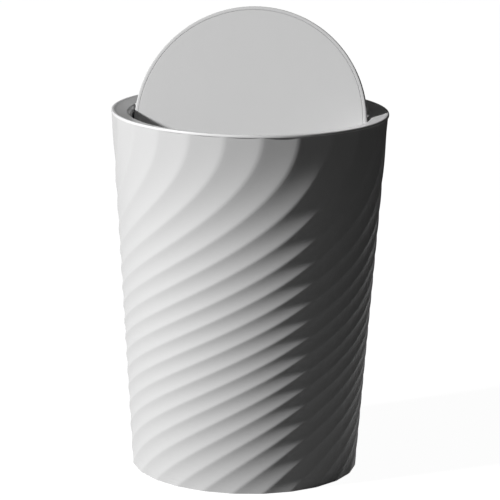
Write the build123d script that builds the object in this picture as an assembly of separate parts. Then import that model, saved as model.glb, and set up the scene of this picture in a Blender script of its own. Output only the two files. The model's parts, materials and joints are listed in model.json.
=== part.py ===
"""Swing-lid waste bin: a tapered bin with sweeping flutes, a push-in lid ring and a round swinging flap.

Millimetres, +Z up. The origin is the middle of the footprint on the floor. The flap's pivot axis runs
along X, and the front of the bin faces -Y.
"""
import os
from math import cos, pi, radians, sin, tan

from build123d import *

# Bin
BIN_HEIGHT = 326.5
TOP_RADIUS = 125.0  # over the crests at the rim
BASE_RADIUS = 103.3  # over the crests at the floor
FLUTE_COUNT = 24
TWIST = 235.5  # degrees that each crest turns between the rim and the floor
BASE_TWIST_RATE = 0.89  # how fast the crests turn at the floor, where 1 is their mean rate
CREST_STEPS = 26  # points that carry each crest's curve
WALL = 2.0  # wall at the rim, in the middle of a flute
FLOOR = 2.5
FLOOR_FILLET = 5.0  # inside, between floor and wall
STAND_HEIGHT = 3.0  # rim under the floor that the bin stands on
STAND_WIDTH = 4.0

# Lid ring
BEAD_HEIGHT = 2.4
BEAD_WIDTH = 2.4
BEAD_ROUND = 1.1
BEAD_FOOT_ROUND = 0.3  # where the bead sits on the bin's rim
DISH_STEP = 0.9  # drop from the top of the bead to the dish
DISH_WIDTH = 14.3  # from the bead to the opening
DISH_SLOPE = 14.0  # degrees, falling towards the opening
RING_WALL = 2.0
OPENING_ROUND = 1.5
SKIRT_ROUND = 0.5  # lower edges of the collar and of the plug
COLLAR_DEPTH = 19.0  # below the opening's edge
PLUG_DEPTH = 16.0  # below the bin's rim
PLUG_CLEARANCE = 0.35

# Flap
FLAP_GAP = 2.3  # all round, between the flap's edge and the opening
FLAP_THICKNESS = 7.2
FACE_ABOVE_AXIS = 3.8  # from the pivot axis to the flap's face
FLAP_EDGE_ROUND = 1.2
FLAP_SHELL_WALL = 1.8
BAND_WIDTH = 3.2
PANEL_THICKNESS = 1.6
PANEL_GAP = 0.3
PANEL_EDGE_ROUND = 0.5
LEDGE_WIDTH = 2.0
RIB_WIDTH = 1.6
RIB_COUNT = 3  # ribs right across the shell, evenly turned
PIVOT_BELOW_RIM = 8.7
FLAP_TILT = 68.5  # degrees that the flap stands open at rest

# Pivots
PIN_DIAMETER = 3.2
PIN_DEPTH = 16.0  # into the flap, from its edge
PIN_HEAD_DIAMETER = 5.6
PIN_HEAD_LENGTH = 1.5
PIN_RUNNING_CLEARANCE = 0.05  # radial, in the collar
PIN_SEAT_CLEARANCE = 0.01  # radial, in the flap
BOSS_DIAMETER = 8.0  # collar boss round the pin
BOSS_LENGTH = 2.6  # outside the collar wall
SHELL_BOSS_WIDTH = 9.0
WASHER_DIAMETER = 7.0
WASHER_CLEARANCE = 0.1  # radial on the pin, and between washer and collar
PAD_PROUD = 0.3  # flat pads round the pins, proud of the collar and of the flap's edge
PAD_DIAMETER = 6.2  # of the pad on the flap's edge
ACCESS_HOLE_DIAMETER = 8.0  # in the plug, where the pin goes in

# Stops
STOP_RADIUS = 11.0  # from the pivot axis to the middle of each stop nub
STOP_NUB_DIAMETER = 2.0
STOP_NUB_CLEARANCE = 0.5  # from a nub's tip to the wall that it faces

LEFT, RIGHT = -1, 1

# Sizes that follow
taper = (TOP_RADIUS - BASE_RADIUS) / BIN_HEIGHT
flat_ratio = cos(pi / FLUTE_COUNT)
cavity_top_radius = TOP_RADIUS * flat_ratio - WALL
floor_top = STAND_HEIGHT + FLOOR
rim_top = BIN_HEIGHT + BEAD_HEIGHT
dish_outer_radius = TOP_RADIUS - BEAD_WIDTH
dish_outer_top = rim_top - DISH_STEP
opening_radius = dish_outer_radius - DISH_WIDTH
opening_top = dish_outer_top - DISH_WIDTH * tan(radians(DISH_SLOPE))
collar_bottom = opening_top - COLLAR_DEPTH
collar_outer_radius = opening_radius + RING_WALL
pivot_height = BIN_HEIGHT - PIVOT_BELOW_RIM
flap_radius = opening_radius - FLAP_GAP
pad_face = opening_radius - PAD_PROUD
flap_pad_face = flap_radius + PAD_PROUD
washer_thickness = pad_face - WASHER_CLEARANCE - flap_pad_face
boss_end = collar_outer_radius + BOSS_LENGTH
flap_back = FACE_ABOVE_AXIS - FLAP_THICKNESS
panel_back = FACE_ABOVE_AXIS - PANEL_THICKNESS
panel_radius = flap_radius - BAND_WIDTH - PANEL_GAP


def bin_radius(height):
    """Radius over the crests at a height."""
    return BASE_RADIUS + taper * height


def cavity_radius(height):
    """Radius of the smooth inner wall at a height."""
    return cavity_top_radius - taper * (BIN_HEIGHT - height)


def crest_turn(height):
    """Degrees that a crest has turned at a height: none at the rim, faster and faster further down."""
    depth = 1 - height / BIN_HEIGHT
    return TWIST * depth**2 * ((3 - BASE_TWIST_RATE) - (2 - BASE_TWIST_RATE) * depth)


def turned(outline):
    """Solid of revolution about Z from (radius, height, corner round) points."""
    points = [(radius, height) for radius, height, _ in outline]
    rounds = [corner_round for _, _, corner_round in outline]
    profile = Plane.XZ * make_face(FilletPolyline(*points, radius=rounds, close=True))
    return revolve(profile, Axis.Z)


def across(diameter, start, end, side):
    """Cylinder along X, centred on the pivot axis, from start to end on one side."""
    middle = side * (start + end) / 2
    return Pos(middle, 0, 0) * Rot(0, 90, 0) * Cylinder(diameter / 2, end - start)


def crest(index):
    """Crest of one flute, a curve from the floor up to the rim."""
    points = []
    for step in range(CREST_STEPS + 1):
        height = BIN_HEIGHT * step / CREST_STEPS
        angle = radians(index * 360 / FLUTE_COUNT - crest_turn(height))
        radius = bin_radius(height)
        points.append((radius * cos(angle), radius * sin(angle), height))
    return Spline(*points).edge()


def fluted_block():
    """Solid inside the flutes, each flute a ruled surface between two crests."""
    first = Face.make_surface_from_curves(crest(0), crest(1))
    pitch = 360 / FLUTE_COUNT
    sides = [Rot(0, 0, index * pitch) * first for index in range(FLUTE_COUNT)]
    ends = []
    for height in (0, BIN_HEIGHT):
        outline = RegularPolygon(bin_radius(height), FLUTE_COUNT, rotation=-crest_turn(height))
        ends.append((Pos(0, 0, height) * outline).face())
    return Solid(Shell(sides + ends))


def bin_body():
    """The bin: fluted outside, smooth inside, on a standing rim."""
    cavity = turned([
        (0, floor_top, 0),
        (cavity_radius(floor_top), floor_top, FLOOR_FILLET),
        (cavity_radius(BIN_HEIGHT + 1), BIN_HEIGHT + 1, 0),
        (0, BIN_HEIGHT + 1, 0),
    ])
    stand_radius = BASE_RADIUS * flat_ratio - STAND_WIDTH
    recess = Pos(0, 0, STAND_HEIGHT / 2) * Cylinder(stand_radius, STAND_HEIGHT)
    return fluted_block() - cavity - recess


def lid_ring():
    """The lid ring: bead, dish, collar and plug in one moulding, with bores and stops for the flap."""
    slope = tan(radians(DISH_SLOPE))
    plug_bottom = BIN_HEIGHT - PLUG_DEPTH
    plug_radius = cavity_radius(BIN_HEIGHT) - PLUG_CLEARANCE
    plug_bottom_radius = cavity_radius(plug_bottom) - PLUG_CLEARANCE
    plug_inner_top = opening_top + (plug_radius - RING_WALL - opening_radius) * slope - RING_WALL
    collar_inner_top = opening_top + RING_WALL * slope - RING_WALL
    ring = turned([
        (TOP_RADIUS, BIN_HEIGHT, BEAD_FOOT_ROUND),
        (TOP_RADIUS, rim_top, BEAD_ROUND),
        (dish_outer_radius, rim_top, BEAD_ROUND / 2),
        (dish_outer_radius, dish_outer_top, 0),
        (opening_radius, opening_top, OPENING_ROUND),
        (opening_radius, collar_bottom, SKIRT_ROUND),
        (collar_outer_radius, collar_bottom, SKIRT_ROUND),
        (collar_outer_radius, collar_inner_top, 0),
        (plug_radius - RING_WALL, plug_inner_top, 0),
        (plug_bottom_radius - RING_WALL, plug_bottom, SKIRT_ROUND),
        (plug_bottom_radius, plug_bottom, SKIRT_ROUND),
        (plug_radius, BIN_HEIGHT, 0),
    ])
    nub_start = flap_pad_face - STOP_NUB_CLEARANCE
    for side in (LEFT, RIGHT):
        bore_radius = PIN_DIAMETER / 2 + PIN_RUNNING_CLEARANCE
        boss = across(BOSS_DIAMETER, pad_face, boss_end, side)
        bore = across(2 * bore_radius, flap_radius, boss_end + 1, side)
        access = across(ACCESS_HOLE_DIAMETER, boss_end, dish_outer_radius, side)
        nub = across(STOP_NUB_DIAMETER, nub_start, opening_radius + RING_WALL / 2, side)
        pivot = Pos(0, 0, pivot_height)
        ring = ring + pivot * boss + pivot * Pos(0, 0, -STOP_RADIUS) * nub
        ring = ring - pivot * bore - pivot * access
    return ring


def flap_shell():
    """The flap's shell, lying closed about the pivot axis: back, edge band, ribs and pin bosses."""
    band_inner = flap_radius - BAND_WIDTH
    floor_face = flap_back + FLAP_SHELL_WALL
    ledge_inner = band_inner - LEDGE_WIDTH
    shell = turned([
        (0, flap_back, 0),
        (flap_radius, flap_back, FLAP_EDGE_ROUND),
        (flap_radius, FACE_ABOVE_AXIS, FLAP_EDGE_ROUND),
        (band_inner, FACE_ABOVE_AXIS, PANEL_EDGE_ROUND),
        (band_inner, panel_back, 0),
        (ledge_inner, panel_back, 0),
        (ledge_inner, floor_face, 0),
        (0, floor_face, 0),
    ])
    rib_height = panel_back - floor_face
    rib = Pos(0, 0, floor_face + rib_height / 2) * Box(2 * ledge_inner + 1, RIB_WIDTH, rib_height)
    for index in range(RIB_COUNT):
        shell += Rot(0, 0, index * 180 / RIB_COUNT) * rib
    for side in (LEFT, RIGHT):
        pin_end = flap_radius - PIN_DEPTH
        block_start = pin_end - RIB_WIDTH
        block_length = band_inner - block_start
        block = Pos(side * (block_start + block_length / 2), 0, floor_face + rib_height / 2)
        shell += block * Box(block_length, SHELL_BOSS_WIDTH, rib_height)
        shell += across(PAD_DIAMETER, band_inner, flap_pad_face, side)
        shell -= across(PIN_DIAMETER + 2 * PIN_SEAT_CLEARANCE, pin_end, flap_pad_face + 1, side)
        for across_axis in (-STOP_RADIUS, STOP_RADIUS):
            nub = across(STOP_NUB_DIAMETER, band_inner, pad_face - 2 * STOP_NUB_CLEARANCE, side)
            shell += Pos(0, across_axis, 0) * nub
    return shell


def flap_panel():
    """The flap's face panel, which sits on the shell's ledge inside the edge band."""
    return turned([
        (0, panel_back, 0),
        (panel_radius, panel_back, 0),
        (panel_radius, FACE_ABOVE_AXIS, PANEL_EDGE_ROUND),
        (0, FACE_ABOVE_AXIS, 0),
    ])


def pivot_pin(side):
    """Headed pin, pushed in from outside the collar into the flap's edge."""
    head_start = boss_end + WASHER_CLEARANCE
    shank = across(PIN_DIAMETER, flap_radius - PIN_DEPTH, head_start, side)
    head = across(PIN_HEAD_DIAMETER, head_start, head_start + PIN_HEAD_LENGTH, side)
    return shank + head


def friction_washer(side):
    """Rubber washer on the pin, between the flap and the collar."""
    outer = across(WASHER_DIAMETER, flap_pad_face, flap_pad_face + washer_thickness, side)
    hole = across(PIN_DIAMETER + 2 * WASHER_CLEARANCE, flap_pad_face - 1, pad_face + 1, side)
    return outer - hole


def main():
    """Place every piece and write it as its own file."""
    flap_place = Pos(0, 0, pivot_height) * Rot(FLAP_TILT, 0, 0)
    pieces = {
        "bin_body": bin_body(),
        "lid_ring": lid_ring(),
        "flap_shell": flap_place * flap_shell(),
        "flap_panel": flap_place * flap_panel(),
    }
    for name, side in (("left", LEFT), ("right", RIGHT)):
        pieces[f"pivot_pin_{name}"] = flap_place * pivot_pin(side)
        pieces[f"friction_washer_{name}"] = flap_place * friction_washer(side)
    os.makedirs("parts", exist_ok=True)
    for name, piece in pieces.items():
        export_step(piece, f"parts/{name}.step")
        print(f"{name}: {piece.volume / 1000:.1f} cm3")


main()
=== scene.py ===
# %% [markdown]
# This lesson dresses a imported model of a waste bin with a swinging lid.
# The real bin is moulded in a pale satin plastic. Its flutes sweep round to the left on their way down,
# a ring plugs into its mouth, and a round flap swings in the ring on two pins.
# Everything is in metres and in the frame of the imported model: +Z is up, the front faces -Y,
# and the flap's pivot axis lies along X.

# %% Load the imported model
import json
import math
from contextlib import contextmanager

import bpy
from mathutils import Matrix, Quaternion, Vector

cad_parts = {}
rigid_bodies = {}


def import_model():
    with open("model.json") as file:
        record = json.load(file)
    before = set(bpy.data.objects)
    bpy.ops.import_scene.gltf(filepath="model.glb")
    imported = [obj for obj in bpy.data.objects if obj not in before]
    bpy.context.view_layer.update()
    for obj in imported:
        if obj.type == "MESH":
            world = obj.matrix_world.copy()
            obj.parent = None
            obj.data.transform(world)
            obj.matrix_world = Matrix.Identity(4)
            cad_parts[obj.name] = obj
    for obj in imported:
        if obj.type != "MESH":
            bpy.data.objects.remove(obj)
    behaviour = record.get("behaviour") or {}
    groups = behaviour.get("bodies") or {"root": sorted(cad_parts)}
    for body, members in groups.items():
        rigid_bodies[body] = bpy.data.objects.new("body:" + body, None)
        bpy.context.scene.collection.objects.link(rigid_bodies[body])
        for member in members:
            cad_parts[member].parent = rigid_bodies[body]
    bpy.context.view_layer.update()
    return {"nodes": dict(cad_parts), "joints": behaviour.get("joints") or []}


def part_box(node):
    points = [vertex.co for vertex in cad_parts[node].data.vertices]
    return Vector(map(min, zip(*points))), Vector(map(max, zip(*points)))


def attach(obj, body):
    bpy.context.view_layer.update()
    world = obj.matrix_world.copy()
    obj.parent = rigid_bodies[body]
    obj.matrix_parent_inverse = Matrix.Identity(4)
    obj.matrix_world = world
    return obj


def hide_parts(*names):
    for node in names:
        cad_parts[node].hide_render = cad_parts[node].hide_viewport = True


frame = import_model()
for item in bpy.data.objects:
    item.select_set(False)
print("nodes", sorted(frame["nodes"]))

# %% [markdown]
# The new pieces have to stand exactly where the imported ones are, so their main sizes are read from them.
# The height and the rim come from the boxes of two nodes. The radius at the foot is the furthest point
# of the bin on the floor. The flap stands open at rest, and the hinge's range is even about its closed
# place, so the middle of that range says how far it is tilted.

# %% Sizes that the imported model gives
FLOOR_SLACK = 1e-5
bin_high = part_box("bin_body")[1]
ring_low, ring_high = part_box("lid_ring")
bin_height = bin_high.z
rim_radius = bin_high.x
packed_points = [point.co for point in frame["nodes"]["bin_body"].data.vertices]
foot_radius = max(place.xy.length for place in packed_points if place.z < FLOOR_SLACK)
swing = next(joint for joint in frame["joints"] if joint["name"] == "flap_swing")
pivot_height = swing["pos_m"][2]
flap_tilt = -math.radians(sum(swing["range_deg"]) / 2)
print("height", round(bin_height, 4), "rim", round(rim_radius, 4), "foot", round(foot_radius, 4))
print("pivot", pivot_height, "tilt", round(math.degrees(flap_tilt), 2))

# %% [markdown]
# The photograph was taken from a little above the rim, through a long lens, slightly to the right of the
# front, with the camera tipped by a degree. A camera could be placed by eye, but one that looks back
# along a direction given by two angles is easier to check against the drawing of the bin.

# %% Camera
CAMERA_AZIMUTH = 10.1
CAMERA_ELEVATION = 13.1
CAMERA_ROLL = 1.04
CAMERA_DISTANCE = 2.4975
CAMERA_LENS = 197.5
LOOK_AT = Vector((0.0020, 0.0004, 0.1992))


def direction(azimuth, elevation):
    """Unit vector from the bin towards an azimuth, 0 in front and 90 to the right, and an elevation."""
    turn, rise = math.radians(azimuth), math.radians(elevation)
    return Vector((math.sin(turn) * math.cos(rise), -math.cos(turn) * math.cos(rise), math.sin(rise)))


towards_camera = direction(CAMERA_AZIMUTH, CAMERA_ELEVATION)
camera = bpy.data.objects.new("camera", bpy.data.cameras.new("camera"))
bpy.context.scene.collection.objects.link(camera)
camera.data.lens = CAMERA_LENS
camera.data.clip_start, camera.data.clip_end = 0.1, 50
camera.rotation_mode = "QUATERNION"
camera.location = LOOK_AT + CAMERA_DISTANCE * towards_camera
level = (-towards_camera).to_track_quat("-Z", "Y")
camera.rotation_quaternion = level @ Quaternion((0, 0, 1), math.radians(CAMERA_ROLL))
bpy.context.scene.camera = camera
bpy.context.scene.view_settings.view_transform = "Standard"
print("camera at", [round(v, 3) for v in camera.location])

# %% [markdown]
# A material is a graph of nodes, and a long graph is easier to read as sums. This small class wraps one
# output of a node, so that Python's own operators add the Math nodes: 1 - mask is then a node as well.
# A second class holds the material's graph and has one method that adds any other node.

# %% Shader expressions
class Signal:
    """One output of a node, with arithmetic that adds Math nodes."""

    def __init__(self, paint, socket):
        self.paint = paint
        self.socket = socket

    def __add__(self, other):
        return self.paint.maths("ADD", self, other)

    def __radd__(self, other):
        return self.paint.maths("ADD", other, self)

    def __sub__(self, other):
        return self.paint.maths("SUBTRACT", self, other)

    def __rsub__(self, other):
        return self.paint.maths("SUBTRACT", other, self)

    def __mul__(self, other):
        return self.paint.maths("MULTIPLY", self, other)

    def __rmul__(self, other):
        return self.paint.maths("MULTIPLY", other, self)

    def __truediv__(self, other):
        return self.paint.maths("DIVIDE", self, other)

    def __abs__(self):
        return self.paint.maths("ABSOLUTE", self)


class Paint:
    """The node graph of a material or of the world."""

    def __init__(self, holder):
        holder.use_nodes = True
        self.holder = holder
        self.tree = holder.node_tree
        self.tree.nodes.clear()

    def node(self, kind, settings=None, values=None, out=0):
        """Add a node: its settings first, then the values or links of its sockets."""
        made = self.tree.nodes.new(kind)
        for name, value in (settings or {}).items():
            setattr(made, name, value)
        for name, value in (values or {}).items():
            if isinstance(value, Signal):
                self.tree.links.new(value.socket, made.inputs[name])
            else:
                made.inputs[name].default_value = value
        return Signal(self, made.outputs[out]) if len(made.outputs) else made

    def maths(self, operation, *parts):
        return self.node("ShaderNodeMath", {"operation": operation}, dict(enumerate(parts)))

    def between(self, value, low, high):
        """0 below low, 1 above high, and smooth in between. low may be above high."""
        values = {"Value": value, "From Min": low, "From Max": high}
        return self.node("ShaderNodeMapRange", {"interpolation_type": "SMOOTHSTEP"}, values)

    def mix(self, factor, first, second):
        """A colour between two others."""
        values = {0: factor, 6: first, 7: second}
        return self.node("ShaderNodeMix", {"data_type": "RGBA"}, values, out=2)


def grey(value):
    return (value, value, value, 1.0)


print("shader expressions ready")

# %% [markdown]
# The background of the photograph is plain white, but little of that white falls on the dark side of the
# bin. So floor and world show white only to the camera and to reflections, and stay dim to the soft light
# that a surface scatters. Light Path tells those rays apart. The floor adds its own lit part to the white,
# which keeps the bin's shadow on it.

# %% White floor and world
WHITE_SEEN = 0.97
FLOOR_GREY = 0.16
FLOOR_SIZE = 9.0
AMBIENT = 0.055


def seen_rays(paint):
    """1 for rays from the camera and for mirrored or transmitted ones, else 0."""
    camera_ray = paint.node("ShaderNodeLightPath", out="Is Camera Ray")
    light_path = camera_ray.socket.node.outputs
    mirrored = Signal(paint, light_path["Is Glossy Ray"])
    passed_on = Signal(paint, light_path["Is Transmission Ray"])
    return paint.maths("MINIMUM", camera_ray + mirrored + passed_on, 1.0)


bpy.ops.mesh.primitive_plane_add(size=FLOOR_SIZE, location=(0, 0, 0))
floor = bpy.context.active_object
floor.name = "floor"
paint = Paint(bpy.data.materials.new("studio_floor"))
matt = paint.node("ShaderNodeBsdfDiffuse", values={"Color": grey(FLOOR_GREY)})
white = paint.node("ShaderNodeEmission", values={"Color": grey(1.0), "Strength": WHITE_SEEN})
both = paint.node("ShaderNodeAddShader", values={0: matt, 1: white})
shown = paint.node("ShaderNodeMixShader", values={0: seen_rays(paint), 1: matt, 2: both})
paint.node("ShaderNodeOutputMaterial", values={"Surface": shown})
floor.data.materials.append(paint.holder)

world = bpy.data.worlds.new("studio")
bpy.context.scene.world = world
paint = Paint(world)
dim = paint.node("ShaderNodeBackground", values={"Color": grey(1.0), "Strength": AMBIENT})
white = paint.node("ShaderNodeBackground", values={"Color": grey(1.0), "Strength": 1.0})
shown = paint.node("ShaderNodeMixShader", values={0: seen_rays(paint), 1: dim, 2: white})
paint.node("ShaderNodeOutputWorld", values={"Surface": shown})
print("floor", floor.dimensions[:2], "ambient", AMBIENT)

# %% [markdown]
# One softbox stands far to the left of the camera and above the rim. The bin is brightest where it faces
# that lamp and falls off evenly to its right, and the raised flap's shadow falls across the back of the
# ring with an edge only a few millimetres soft, so the box is small for its distance. Its power grows with
# the square of the distance, so that the brightness is that of a white face turned straight to it.
# Three dark cards stand beside and behind the bin. The camera doesn't see them and they cast no shadow.
# They keep the white surroundings from shining in the shaded plastic and along its edges, as a
# photographer's black cards do.

# %% Softbox and dark cards
KEY_FROM_CAMERA = -62.5
KEY_ELEVATION = 24.0
KEY_DISTANCE = 5.0
KEY_WIDTH = 0.40
KEY_HEIGHT = 0.40
KEY_BRIGHTNESS = 1.20

lamp = bpy.data.lights.new("softbox", "AREA")
lamp.shape = "RECTANGLE"
lamp.size, lamp.size_y = KEY_WIDTH, KEY_HEIGHT
lamp.energy = KEY_BRIGHTNESS * math.pi**2 * KEY_DISTANCE**2
softbox = bpy.data.objects.new("softbox", lamp)
bpy.context.scene.collection.objects.link(softbox)
towards_key = direction(CAMERA_AZIMUTH + KEY_FROM_CAMERA, KEY_ELEVATION)
softbox.location = Vector((0, 0, bin_height / 2)) + KEY_DISTANCE * towards_key
softbox.rotation_mode = "QUATERNION"
softbox.rotation_quaternion = (-towards_key).to_track_quat("-Z", "Y")
softbox.visible_camera = False

CARD_HEIGHT = 1.5
CARD_GREY = 0.02
CARD_PLACES = {
    "right_card": (90, 0.50, 3.2),
    "back_card": (172, 0.90, 2.6),
    "left_card": (-112, 1.00, 1.3),
}
paint = Paint(bpy.data.materials.new("dark_card"))
matt = paint.node("ShaderNodeBsdfDiffuse", values={"Color": grey(CARD_GREY)})
paint.node("ShaderNodeOutputMaterial", values={"Surface": matt})
for name, (azimuth, distance, length) in CARD_PLACES.items():
    bpy.ops.mesh.primitive_plane_add(size=1, rotation=(math.radians(90), 0, 0))
    card = bpy.context.active_object
    card.name = name
    bpy.ops.object.transform_apply(rotation=True)
    card.scale = (length, 1, CARD_HEIGHT)
    card.rotation_euler.z = math.radians(azimuth)
    card.location = distance * direction(azimuth, 0) + Vector((0, 0, CARD_HEIGHT / 2))
    bpy.ops.object.transform_apply(location=True, rotation=True, scale=True)
    card.data.materials.append(paint.holder)
    card.visible_camera = False
    card.visible_shadow = False
    print(name, [round(v, 2) for v in card.dimensions])
print("lamp", round(lamp.energy, 1), "W at", [round(v, 2) for v in softbox.location])

# %% [markdown]
# A bin like this is round everywhere except for its flutes, so most of its pieces start as a circle that is
# extruded loop by loop and scaled about the middle, as a profile is turned on a lathe. Drawing the profile
# and spinning it would also work, but with loops each station has its radius and height in plain sight.
# A corner that is to be rounded gets a loop just outside the rounding on both sides, so that the flats
# beside it stay flat when the piece is shaded smooth.

# %% Helpers for turned pieces
GUARD = 0.0004
TOUCH = 2e-6


def use_only(item):
    """Make an object the only selected one, and the active one."""
    for other in list(bpy.context.selected_objects):
        other.select_set(False)
    item.select_set(True)
    bpy.context.view_layer.objects.active = item


@contextmanager
def editing(item, pick="VERT"):
    """Edit mode on one object, picking vertices or edges."""
    use_only(item)
    bpy.context.tool_settings.mesh_select_mode = (pick == "VERT", pick == "EDGE", False)
    bpy.ops.object.mode_set(mode="EDIT")
    yield
    bpy.ops.object.mode_set(mode="OBJECT")


def select_edges(item, wanted):
    """Select only the edges whose two ends pass a test on their places."""
    mesh = item.data
    for group in (mesh.vertices, mesh.edges, mesh.polygons):
        group.foreach_set("select", [False] * len(group))
    good = [wanted(v.co) for v in mesh.vertices]
    count = 0
    for edge in mesh.edges:
        if good[edge.vertices[0]] and good[edge.vertices[1]]:
            edge.select = True
            count += 1
    return count


def at_station(radius, height):
    """A test for points of the loop with this radius and height."""
    return lambda place: abs(place.xy.length - radius) < TOUCH and abs(place.z - height) < TOUCH


def guarded(outline):
    """Stations from corners (radius, height, round), with a loop each side of every rounding."""
    stations = []
    for index, (radius, height, size) in enumerate(outline):
        corner = Vector((radius, height))
        before = Vector(outline[index - 1][:2])
        after = Vector(outline[(index + 1) % len(outline)][:2])
        if size:
            stations.append(tuple(corner + (before - corner).normalized() * (size + GUARD)))
        stations.append((radius, height))
        if size:
            stations.append(tuple(corner + (after - corner).normalized() * (size + GUARD)))
    return stations


def turned(name, outline, count, closed=False, steps=4):
    """Extrude a circle through an outline's stations, then bevel its rounded corners.

    An outline that isn't closed has no rounding at its two ends.
    """
    stations = guarded(outline)
    if closed:
        stations.append(stations[0])
    radius, height = stations[0]
    bpy.ops.mesh.primitive_circle_add(vertices=count, radius=radius, location=(0, 0, height))
    item = bpy.context.active_object
    item.name = item.data.name = name
    bpy.ops.object.transform_apply(location=True)
    with editing(item):
        bpy.ops.mesh.select_all(action="SELECT")
        for following in stations[1:]:
            rise = following[1] - height
            bpy.ops.mesh.extrude_edges_move(TRANSFORM_OT_translate={"value": (0, 0, rise)})
            share = following[0] / radius
            bpy.ops.transform.resize(value=(share, share, 1), center_override=(0, 0, 0))
            radius, height = following
        if closed:
            bpy.ops.mesh.select_all(action="SELECT")
            bpy.ops.mesh.remove_doubles(threshold=TOUCH)
    for radius, height, size in outline:
        if size:
            select_edges(item, at_station(radius, height))
            with editing(item, "EDGE"):
                bpy.ops.mesh.bevel(offset=size, segments=steps, profile=0.5, affect="EDGES")
    return item


def cap(item, radius, height):
    """Close the loop at a station with one flat face."""
    select_edges(item, at_station(radius, height))
    with editing(item, "EDGE"):
        bpy.ops.mesh.edge_face_add()


def finish_mesh(item, angle=30):
    """Point the faces outwards and shade smooth, with sharp edges where the faces meet at more than angle."""
    with editing(item):
        bpy.ops.mesh.select_all(action="SELECT")
        bpy.ops.mesh.normals_make_consistent(inside=False)
    use_only(item)
    bpy.ops.object.shade_smooth_by_angle(angle=math.radians(angle))
    sizes = [round(v * 1000, 1) for v in item.dimensions]
    print(item.name, len(item.data.polygons), "faces", sizes, "mm")


print("lathe helpers ready")

# %% [markdown]
# The flutes are flat facets between 24 crests. Seen from above, each crest turns clockwise on its way down,
# slowly under the rim and fastest below the middle, and the bin tapers towards the foot. The turn is a
# curve of the depth, which is 0 at the rim and 1 at the foot. Its rate is nothing at the rim and FOOT_RATE
# times the mean at the foot. So the wall starts as a circle of 24 points whose corners are rounded with a
# vertex bevel. The long edges left between them, the facets, are divided, and the loop is extruded
# downwards in thin steps, each turned and scaled a little. A Screw modifier could turn it too, but only at
# one rate.

# %% Fluted wall
FLUTES = 24
TWIST = math.radians(235.5)
FOOT_RATE = 0.89
CREST_ROUND = 0.0028
CREST_STEPS = 5
FACET_CUTS = 5
FACET_LEAST = 0.005
WALL_STEPS = 110


def crest_turn(depth):
    """Angle that a crest has turned at a depth. The plastic's shader uses it too, on a Signal."""
    return TWIST * depth * depth * ((3 - FOOT_RATE) - (2 - FOOT_RATE) * depth)


def crest_radius(depth):
    return rim_radius - (rim_radius - foot_radius) * depth


bpy.ops.mesh.primitive_circle_add(vertices=FLUTES, radius=rim_radius, location=(0, 0, bin_height))
bin_body = bpy.context.active_object
bin_body.name = bin_body.data.name = "fluted_bin"
bpy.ops.object.transform_apply(location=True)
with editing(bin_body):
    bpy.ops.mesh.select_all(action="SELECT")
    bpy.ops.mesh.bevel(offset=CREST_ROUND, segments=CREST_STEPS, affect="VERTICES", profile=0.5)
points = bin_body.data.vertices
for edge in bin_body.data.edges:
    first, last = (points[index].co for index in edge.vertices)
    edge.select = (first - last).length > FACET_LEAST
for point in points:
    point.select = False
with editing(bin_body, "EDGE"):
    bpy.ops.mesh.subdivide(number_cuts=FACET_CUTS)
around = len(bin_body.data.vertices)
with editing(bin_body):
    bpy.ops.mesh.select_all(action="SELECT")
    for step in range(WALL_STEPS):
        depth = step / WALL_STEPS
        below = (step + 1) / WALL_STEPS
        drop = bin_height * (depth - below)
        bpy.ops.mesh.extrude_edges_move(TRANSFORM_OT_translate={"value": (0, 0, drop)})
        turn = crest_turn(below) - crest_turn(depth)
        bpy.ops.transform.rotate(value=turn, orient_axis="Z", center_override=(0, 0, 0))
        share = crest_radius(below) / crest_radius(depth)
        bpy.ops.transform.resize(value=(share, share, 1), center_override=(0, 0, 0))
print("wall points", len(bin_body.data.vertices), "around", around)

# %% [markdown]
# Inside, the bin is a plain tapered pot with a rounded corner at the floor, and under the floor a narrow
# standing rim carries it. Both are turned pieces with as many points as the fluted wall, so that the loops
# at the rim and at the foot can be bridged one to one. The rim isn't rounded, as the ring's bead hides it.

# %% Inside of the bin and its standing rim
WALL = 0.002
FLOOR_TOP = 0.0055
FLOOR_ROUND = 0.005
FLOOR_DISC = 0.06
POT_LOOPS = (0.22, 0.11)
STAND_HEIGHT = 0.003
STAND_WIDTH = 0.004
RECESS_BORDER = 0.004
facet_share = math.cos(math.pi / FLUTES)
mouth_radius = rim_radius * facet_share - WALL
taper = (rim_radius - foot_radius) / bin_height
stand_radius = foot_radius * facet_share - STAND_WIDTH


def inner_radius(height):
    return mouth_radius - taper * (bin_height - height)


pot = turned(
    "pot",
    [
        (mouth_radius, bin_height, 0),
        *((inner_radius(height), height, 0) for height in POT_LOOPS),
        (inner_radius(FLOOR_TOP), FLOOR_TOP, FLOOR_ROUND),
        (FLOOR_DISC, FLOOR_TOP, 0),
    ],
    around,
    steps=6,
)
cap(pot, FLOOR_DISC, FLOOR_TOP)
recess_disc = stand_radius - RECESS_BORDER
recess = turned(
    "recess",
    [(stand_radius, 0, 0), (stand_radius, STAND_HEIGHT, 0), (recess_disc, STAND_HEIGHT, 0)],
    around,
)
cap(recess, recess_disc, STAND_HEIGHT)
use_only(bin_body)
pot.select_set(True)
recess.select_set(True)
bpy.ops.object.join()
for height in (bin_height, 0):
    found = select_edges(bin_body, lambda place: abs(place.z - height) < TOUCH)
    with editing(bin_body, "EDGE"):
        bpy.ops.mesh.bridge_edge_loops()
    print("bridged", found, "edges at", round(height, 4))
finish_mesh(bin_body, 25)

# %% [markdown]
# The lid ring is one moulding. A round bead lies on the bin's rim, a shallow dish falls from it towards the
# opening, a collar hangs under the opening's edge, and an outer skirt plugs into the mouth. Its section is
# closed, so the outline goes all the way round it and ends where it began.

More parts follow.
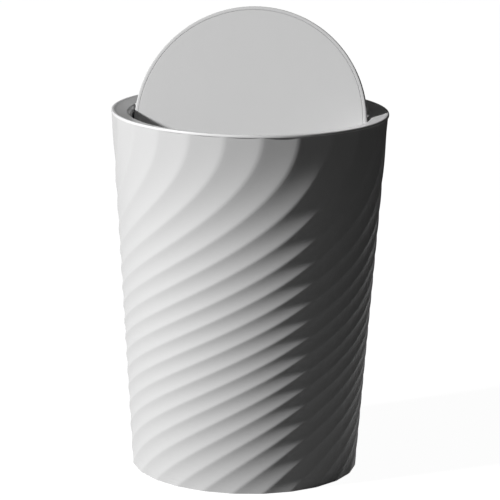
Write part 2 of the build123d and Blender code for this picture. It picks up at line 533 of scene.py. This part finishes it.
# %% Lid ring
ROUND_COUNT = 240
BEAD_WIDTH = 0.0024
BEAD_ROUND = 0.0011
BEAD_INNER_ROUND = 0.0004
BEAD_SEAT_ROUND = 0.0003
BEAD_FOOT_WIDTH = 0.0022
DISH_STEP = 0.0002
DISH_WIDTH = 0.0143
DISH_SLOPE = math.tan(math.radians(11))
RING_WALL = 0.002
OPENING_ROUND = 0.0028
SKIRT_ROUND = 0.0005
PLUG_DEPTH = 0.016
PLUG_CLEARANCE = 0.00035
bead_top = ring_high.z
bead_inner = rim_radius - BEAD_WIDTH
bead_foot = bead_inner - BEAD_FOOT_WIDTH
opening_radius = bead_inner - DISH_WIDTH
opening_top = bead_top - DISH_STEP - DISH_WIDTH * DISH_SLOPE
collar_bottom = ring_low.z
collar_outer = opening_radius + RING_WALL
plug_bottom = bin_height - PLUG_DEPTH
plug_top_radius = mouth_radius - PLUG_CLEARANCE
plug_bottom_radius = inner_radius(plug_bottom) - PLUG_CLEARANCE
under_dish = opening_top + (plug_top_radius - RING_WALL - opening_radius) * DISH_SLOPE - RING_WALL
under_opening = opening_top + RING_WALL * DISH_SLOPE - RING_WALL
lid_ring = turned(
    "ring_moulding",
    [
        (rim_radius, bin_height, BEAD_SEAT_ROUND),
        (rim_radius, bead_top, BEAD_ROUND),
        (bead_inner, bead_top, BEAD_INNER_ROUND),
        (bead_foot, bead_top - DISH_STEP - BEAD_FOOT_WIDTH * DISH_SLOPE, BEAD_INNER_ROUND),
        (opening_radius, opening_top, OPENING_ROUND),
        (opening_radius, collar_bottom, SKIRT_ROUND),
        (collar_outer, collar_bottom, SKIRT_ROUND),
        (collar_outer, under_opening, 0),
        (plug_top_radius - RING_WALL, under_dish, 0),
        (plug_bottom_radius - RING_WALL, plug_bottom, SKIRT_ROUND),
        (plug_bottom_radius, plug_bottom, SKIRT_ROUND),
        (plug_top_radius, bin_height, 0),
    ],
    ROUND_COUNT,
    closed=True,
    steps=5,
)
print("opening", round(opening_radius, 4), "its edge at", round(opening_top, 4))

# %% [markdown]
# The collar carries the two pins in bosses, and the skirt has a hole through which each pin was pushed in.
# Below each pin a small nub stops the flap. They are added to the turned ring, or cut out of it, with the
# Boolean modifier, because that keeps the moulding one closed skin. A rod's end is flat and the walls are
# round, so a rod that is joined to a wall ends inside it, and one that cuts reaches a little past it.

# %% Bosses, bores and stops of the ring
FLAP_GAP = 0.0023
PAD_PROUD = 0.0003
BOSS_DIAMETER = 0.008
BOSS_LENGTH = 0.0026
PIN_DIAMETER = 0.0032
RUNNING_CLEARANCE = 0.00005
ACCESS_DIAMETER = 0.008
ACCESS_CLEARANCE = 0.0005
STOP_RADIUS = 0.011
NUB_DIAMETER = 0.002
NUB_CLEARANCE = 0.0005
TOOL_OVERLAP = 0.0005
TOOL_OVERRUN = 0.001
ROD_SIDES = 48
flap_radius = opening_radius - FLAP_GAP
pad_face = opening_radius - PAD_PROUD
flap_pad_face = flap_radius + PAD_PROUD
boss_end = collar_outer + BOSS_LENGTH


def rod(diameter, start, end, y=0.0, z=0.0):
    """A rod along X from start to end, as a tool for the Boolean modifier."""
    bpy.ops.mesh.primitive_cylinder_add(
        vertices=ROD_SIDES,
        radius=diameter / 2,
        depth=abs(end - start),
        location=((start + end) / 2, y, z),
        rotation=(0, math.radians(90), 0),
    )
    return bpy.context.active_object


def combine(item, tool, operation):
    """Add a tool's volume to a piece, or cut it out, and remove the tool."""
    use_only(item)
    bpy.ops.object.modifier_add(type="BOOLEAN")
    modifier = item.modifiers[-1]
    modifier.operation = operation
    modifier.solver = "EXACT"
    modifier.object = tool
    bpy.ops.object.modifier_apply(modifier=modifier.name)
    bpy.data.objects.remove(tool)


bore_diameter = PIN_DIAMETER + 2 * RUNNING_CLEARANCE
bore_end = boss_end + TOOL_OVERRUN
access_start = boss_end + ACCESS_CLEARANCE
ring_nub_tip = flap_pad_face - NUB_CLEARANCE
ring_nub_root = opening_radius + RING_WALL / 2
nub_height = pivot_height - STOP_RADIUS
for side in (-1, 1):
    boss = rod(BOSS_DIAMETER, side * pad_face, side * boss_end, z=pivot_height)
    combine(lid_ring, boss, "UNION")
    nub = rod(NUB_DIAMETER, side * ring_nub_tip, side * ring_nub_root, z=nub_height)
    combine(lid_ring, nub, "UNION")
    bore = rod(bore_diameter, side * flap_radius, side * bore_end, z=pivot_height)
    combine(lid_ring, bore, "DIFFERENCE")
    access = rod(ACCESS_DIAMETER, side * access_start, side * bead_inner, z=pivot_height)
    combine(lid_ring, access, "DIFFERENCE")
finish_mesh(lid_ring)

# %% [markdown]
# The flap is a shallow turned shell with a raised band round its edge, and a thin face panel that lies
# inside the band with a hairline gap. Both are modelled lying closed, with the pivot axis through the
# origin, because there every height is simply a distance from the axis. They are tilted and lifted into
# their place afterwards, and that turn is then written into their meshes.

# %% Flap shell
FACE = 0.0038
FLAP_THICKNESS = 0.0072
FLAP_ROUND = 0.0012
SHELL_WALL = 0.0018
BAND_WIDTH = 0.0032
PANEL_THICKNESS = 0.0016
PANEL_GAP = 0.00015
PANEL_ROUND = 0.0003
LEDGE_WIDTH = 0.002
BACK_DISC = 0.07
back = FACE - FLAP_THICKNESS
panel_back = FACE - PANEL_THICKNESS
band_inner = flap_radius - BAND_WIDTH
ledge_inner = band_inner - LEDGE_WIDTH
shell_floor = back + SHELL_WALL
flap_shell = turned(
    "flap_tray",
    [
        (ledge_inner, shell_floor, 0),
        (ledge_inner, panel_back, 0),
        (band_inner, panel_back, 0),
        (band_inner, FACE, PANEL_ROUND),
        (flap_radius, FACE, FLAP_ROUND),
        (flap_radius, back, FLAP_ROUND),
        (BACK_DISC, back, 0),
    ],
    ROUND_COUNT,
    steps=5,
)
cap(flap_shell, ledge_inner, shell_floor)
cap(flap_shell, BACK_DISC, back)
with editing(flap_shell):
    bpy.ops.mesh.select_all(action="SELECT")
    bpy.ops.mesh.normals_make_consistent(inside=False)
print("flap", round(flap_radius, 4), "band from", round(band_inner, 4))

# %% [markdown]
# Three ribs cross in the hollow between the shell's back and the face panel. On each side a block holds
# the pin, a round pad stands proud of the band and bears on the washer, and two nubs meet the ring's nub at
# the ends of the swing. They are joined to the tray one after another, and the pin's hole is cut last, so
# that it goes through all of them.

# %% Ribs, blocks, pads, stops and pin holes of the flap
RIB_COUNT = 3
RIB_WIDTH = 0.0016
RIB_CLEARANCE = 0.00003
PIN_DEPTH = 0.016
SEAT_CLEARANCE = 0.00001
PAD_DIAMETER = 0.0062
BLOCK_WIDTH = 0.009
rib_height = panel_back - shell_floor - RIB_CLEARANCE


def bar(length, width, x=0.0, turn=0.0):
    """A bar that stands on the shell's floor and is as high as a rib, as a tool for the Boolean modifier."""
    bpy.ops.mesh.primitive_cube_add(size=1, location=(x, 0, shell_floor + rib_height / 2))
    item = bpy.context.active_object
    item.scale = (length, width, rib_height)
    item.rotation_euler.z = turn
    return item


for index in range(RIB_COUNT):
    rib = bar(2 * ledge_inner + 2 * TOOL_OVERLAP, RIB_WIDTH, turn=math.pi * index / RIB_COUNT)
    combine(flap_shell, rib, "UNION")
hole_diameter = PIN_DIAMETER + 2 * SEAT_CLEARANCE
pin_end = flap_radius - PIN_DEPTH
hole_end = flap_pad_face + TOOL_OVERRUN
block_start = pin_end - RIB_WIDTH
block_end = ledge_inner + TOOL_OVERLAP
band_root = band_inner + TOOL_OVERLAP
flap_nub_tip = pad_face - 2 * NUB_CLEARANCE
for side in (-1, 1):
    block = bar(block_end - block_start, BLOCK_WIDTH, x=side * (block_start + block_end) / 2)
    combine(flap_shell, block, "UNION")
    pad = rod(PAD_DIAMETER, side * band_root, side * flap_pad_face)
    combine(flap_shell, pad, "UNION")
    for y in (-STOP_RADIUS, STOP_RADIUS):
        nub = rod(NUB_DIAMETER, side * band_root, side * flap_nub_tip, y=y)
        combine(flap_shell, nub, "UNION")
    hole = rod(hole_diameter, side * pin_end, side * hole_end)
    combine(flap_shell, hole, "DIFFERENCE")
print("flap shell faces", len(flap_shell.data.polygons))

# %% [markdown]
# The face panel is a thin plate that draws in a little as it cools, so its middle is sunk by about a
# millimetre. A few more stations towards the middle give that shallow bowl, and a small flat closes it.

# %% Face panel, and both tilted into place
PANEL_SINK = 0.0012
BOWL_STATIONS = (0.94, 0.86, 0.76, 0.64, 0.50, 0.34, 0.18)
panel_radius = band_inner - PANEL_GAP
bowl = [(panel_radius * share, FACE - PANEL_SINK * (1 - share**2), 0) for share in BOWL_STATIONS]
flap_panel = turned(
    "flap_face",
    [(panel_radius, panel_back, 0), (panel_radius, FACE, PANEL_ROUND)] + bowl,
    ROUND_COUNT,
)
cap(flap_panel, panel_radius, panel_back)
cap(flap_panel, *bowl[-1][:2])
for item in (flap_shell, flap_panel):
    item.matrix_world = Matrix.Translation((0, 0, pivot_height)) @ Matrix.Rotation(flap_tilt, 4, "X")
    use_only(item)
    bpy.ops.object.transform_apply(location=True, rotation=True, scale=True)
    finish_mesh(item)

# %% [markdown]
# The plastics come next. The bin is satin: a fine even grain that scatters the light, faintly cloudy, a
# touch smoother along the crests, where hands and cloths rub, and slightly dull with scuffs at the foot.
# The crests are also painted a little lighter in colour, which is a painted highlight.
# The grain is a bump, far finer than a flute. The crests are found again from the angle round the axis
# and from the height, with the same turn as the wall.

# %% Helpers for the plastics
def plastic(paint, tone, roughness, relief, gloss=0.5):
    """The plastic's shader and the material's output."""
    values = {"Base Color": tone, "Roughness": roughness, "Normal": relief, "Specular IOR Level": gloss}
    shader = paint.node("ShaderNodeBsdfPrincipled", values=values, out="BSDF")
    paint.node("ShaderNodeOutputMaterial", values={"Surface": shader})


def noise(paint, spot, scale, detail=3.0, roughness=0.5):
    """Cloudy noise. A scale of three numbers gives each axis its own, and a small one stretches it."""
    if isinstance(scale, tuple):
        spot = paint.node("ShaderNodeMapping", values={"Vector": spot, "Scale": scale})
        scale = 1.0
    values = {"Vector": spot, "Scale": scale, "Detail": detail, "Roughness": roughness}
    return paint.node("ShaderNodeTexNoise", values=values, out="Fac")


def raised(paint, height, strength, distance, over=None):
    """A bump of some distance in metres, laid over another one where that is given."""
    values = {"Height": height, "Strength": strength, "Distance": distance}
    if over is not None:
        values["Normal"] = over
    return paint.node("ShaderNodeBump", values=values, out="Normal")


print("plastic helpers ready")

# %% Satin plastic of the bin
BIN_GREY = 0.65
BIN_ROUGHNESS = 0.52
BIN_GLOSS = 0.14
BIN_GRAIN = 1500.0
CREST_BAND = 0.11
CREST_CORE = 0.02
SCUFF_TOP = 0.020
SCUFF_FULL = 0.001
SCUFF_GRAIN = (60, 60, 900)

paint = Paint(bpy.data.materials.new("satin_bin_plastic"))
spot = paint.node("ShaderNodeTexCoord", out="Object")
x, y, z = (paint.node("ShaderNodeSeparateXYZ", values={"Vector": spot}, out=axis) for axis in "XYZ")
turn = crest_turn(1 - z / bin_height)
flute = (paint.maths("ARCTAN2", y, x) + turn) * (FLUTES / math.tau)
from_crest = abs(flute - paint.maths("ROUND", flute))
crest_polish_and_highlight = paint.between(from_crest, CREST_BAND, CREST_CORE)
cloud = noise(paint, spot, 14.0, 4.0)
speck = noise(paint, spot, 420.0, 2.0)
scuff = paint.between(noise(paint, spot, SCUFF_GRAIN, 5.0, 0.7), 0.52, 0.72)
worn = paint.between(z, SCUFF_TOP, SCUFF_FULL) * scuff
tone = paint.mix(cloud, grey(BIN_GREY * 0.985), grey(BIN_GREY * 1.015))
# Painted highlight: the crests are made a little lighter, as if they caught more light. Their lower roughness
# further down is real polish.
tone = paint.mix(crest_polish_and_highlight * 0.35, tone, grey(BIN_GREY * 1.04))
tone = paint.mix(worn * 0.30, tone, grey(BIN_GREY * 0.72))
uneven = (cloud - 0.5) * 0.10 + (speck - 0.5) * 0.08
grain = raised(paint, noise(paint, spot, BIN_GRAIN, 2.0), 0.25, 0.00008)
plastic(paint, tone, BIN_ROUGHNESS + uneven - crest_polish_and_highlight * 0.06 + worn * 0.12, grain, BIN_GLOSS)
bin_body.data.materials.append(paint.holder)
print("satin plastic", len(paint.tree.nodes), "nodes")

# %% [markdown]
# The lid's plastic has more gloss. Ring and flap are one plastic, but the ring is painted nearly white, as
# painted light, and the flap a little greyer than the bin, as painted shade, for the different light on each.
# The skin is smooth with a very fine grain, a slight waviness, which on the flap stretches along the flow of
# the moulding, and faint smudges that only change how sharply it shines. The patterns are laid from the
# pivot, and on the flap they are turned back by its tilt, so that they lie along its face.

# %% Glossier plastic of the lid
# One plastic in two greys: the ring's is raised as painted light, the flap's lowered as painted shade.
RING_PAINTED_LIGHT_GREY = 0.86
FLAP_PAINTED_SHADE_GREY = 0.60
LID_ROUGHNESS = 0.32
LID_GLOSS = 0.28
LID_GRAIN = 2200.0
RING_WAVES = (20, 20, 40)
FLAP_WAVES = (60, 9, 60)


def lid_plastic(name, lid_grey, tilt, waves):
    """Lid plastic of one grey, for a piece tilted about the pivot, with so many waves a metre each way."""
    paint = Paint(bpy.data.materials.new(name))
    place = paint.node("ShaderNodeTexCoord", out="Object")
    pivot = (0, 0, pivot_height)
    moved = paint.node("ShaderNodeVectorMath", {"operation": "SUBTRACT"}, {0: place, 1: pivot})
    spot = paint.node("ShaderNodeMapping", values={"Vector": moved, "Rotation": (-tilt, 0, 0)})
    smudge = paint.between(noise(paint, spot, 24.0, 5.0, 0.6), 0.50, 0.75)
    grain = noise(paint, spot, LID_GRAIN, 2.0)
    tone = paint.mix(noise(paint, spot, 9.0), grey(lid_grey * 0.988), grey(lid_grey * 1.012))
    fine = raised(paint, grain, 0.15, 0.00004)
    wavy = raised(paint, noise(paint, spot, waves, 2.0), 0.35, 0.0004, over=fine)
    plastic(paint, tone, LID_ROUGHNESS + smudge * 0.07 + (grain - 0.5) * 0.06, wavy, LID_GLOSS)
    return paint.holder


# The ring gets the lighter grey, painted light, and the flap the darker one, painted shade.
ring_painted_light_plastic = lid_plastic("gloss_ring_painted_light_plastic", RING_PAINTED_LIGHT_GREY, 0.0, RING_WAVES)
flap_painted_shade_plastic = lid_plastic("gloss_flap_painted_shade_plastic", FLAP_PAINTED_SHADE_GREY, flap_tilt, FLAP_WAVES)
lid_ring.data.materials.append(ring_painted_light_plastic)
flap_shell.data.materials.append(flap_painted_shade_plastic)
flap_panel.data.materials.append(flap_painted_shade_plastic)
print("lid plastics ready")

# %% [markdown]
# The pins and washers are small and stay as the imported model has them. A pin is a plain satin plastic with
# fine rings round it, worn by its turning in the bore, and a washer is dark rubber with a dusty bloom.

# %% Pins and washers
PIN_DARK = 0.58
PIN_LIGHT = 0.66
PIN_ROUGHNESS = 0.38
PIN_RINGS = (1400, 40, 40)
RUBBER_GREY = 0.05
DUST_GREY = 0.11
RUBBER_ROUGHNESS = 0.72


def pin_plastic():
    paint = Paint(bpy.data.materials.new("pin_plastic_satin"))
    spot = paint.node("ShaderNodeTexCoord", out="Object")
    rings = noise(paint, spot, PIN_RINGS)
    tone = paint.mix(noise(paint, spot, 500.0), grey(PIN_DARK), grey(PIN_LIGHT))
    plastic(paint, tone, PIN_ROUGHNESS + rings * 0.16, raised(paint, rings, 0.3, 0.00005))
    return paint.holder


def washer_rubber():
    paint = Paint(bpy.data.materials.new("washer_rubber_dusty"))
    spot = paint.node("ShaderNodeTexCoord", out="Object")
    bloom = noise(paint, spot, 700.0, 4.0)
    pores = noise(paint, spot, 3000.0)
    tone = paint.mix(paint.between(bloom, 0.45, 0.8), grey(RUBBER_GREY), grey(DUST_GREY))
    plastic(paint, tone, RUBBER_ROUGHNESS + bloom * 0.2, raised(paint, pores, 0.3, 0.00004))
    return paint.holder


for kind, finish in (("pivot_pin", pin_plastic()), ("friction_washer", washer_rubber())):
    for side in ("left", "right"):
        node = frame["nodes"][f"{kind}_{side}"]
        node.data.materials.clear()
        node.data.materials.append(finish)
        print("painted", node.name)

# %% [markdown]
# Last, each new piece is tied to the body that it moves with and takes the place of its imported node.

# %% Tie the pieces to their bodies
for item, body, node, slot in (
    (bin_body, "bin", "bin_body", "bin_plastic"),
    (lid_ring, "lid", "lid_ring", "lid_plastic"),
    (flap_shell, "flap", "flap_shell", "lid_plastic"),
    (flap_panel, "flap", "flap_panel", "lid_plastic"),
):
    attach(item, body)
    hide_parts(node)
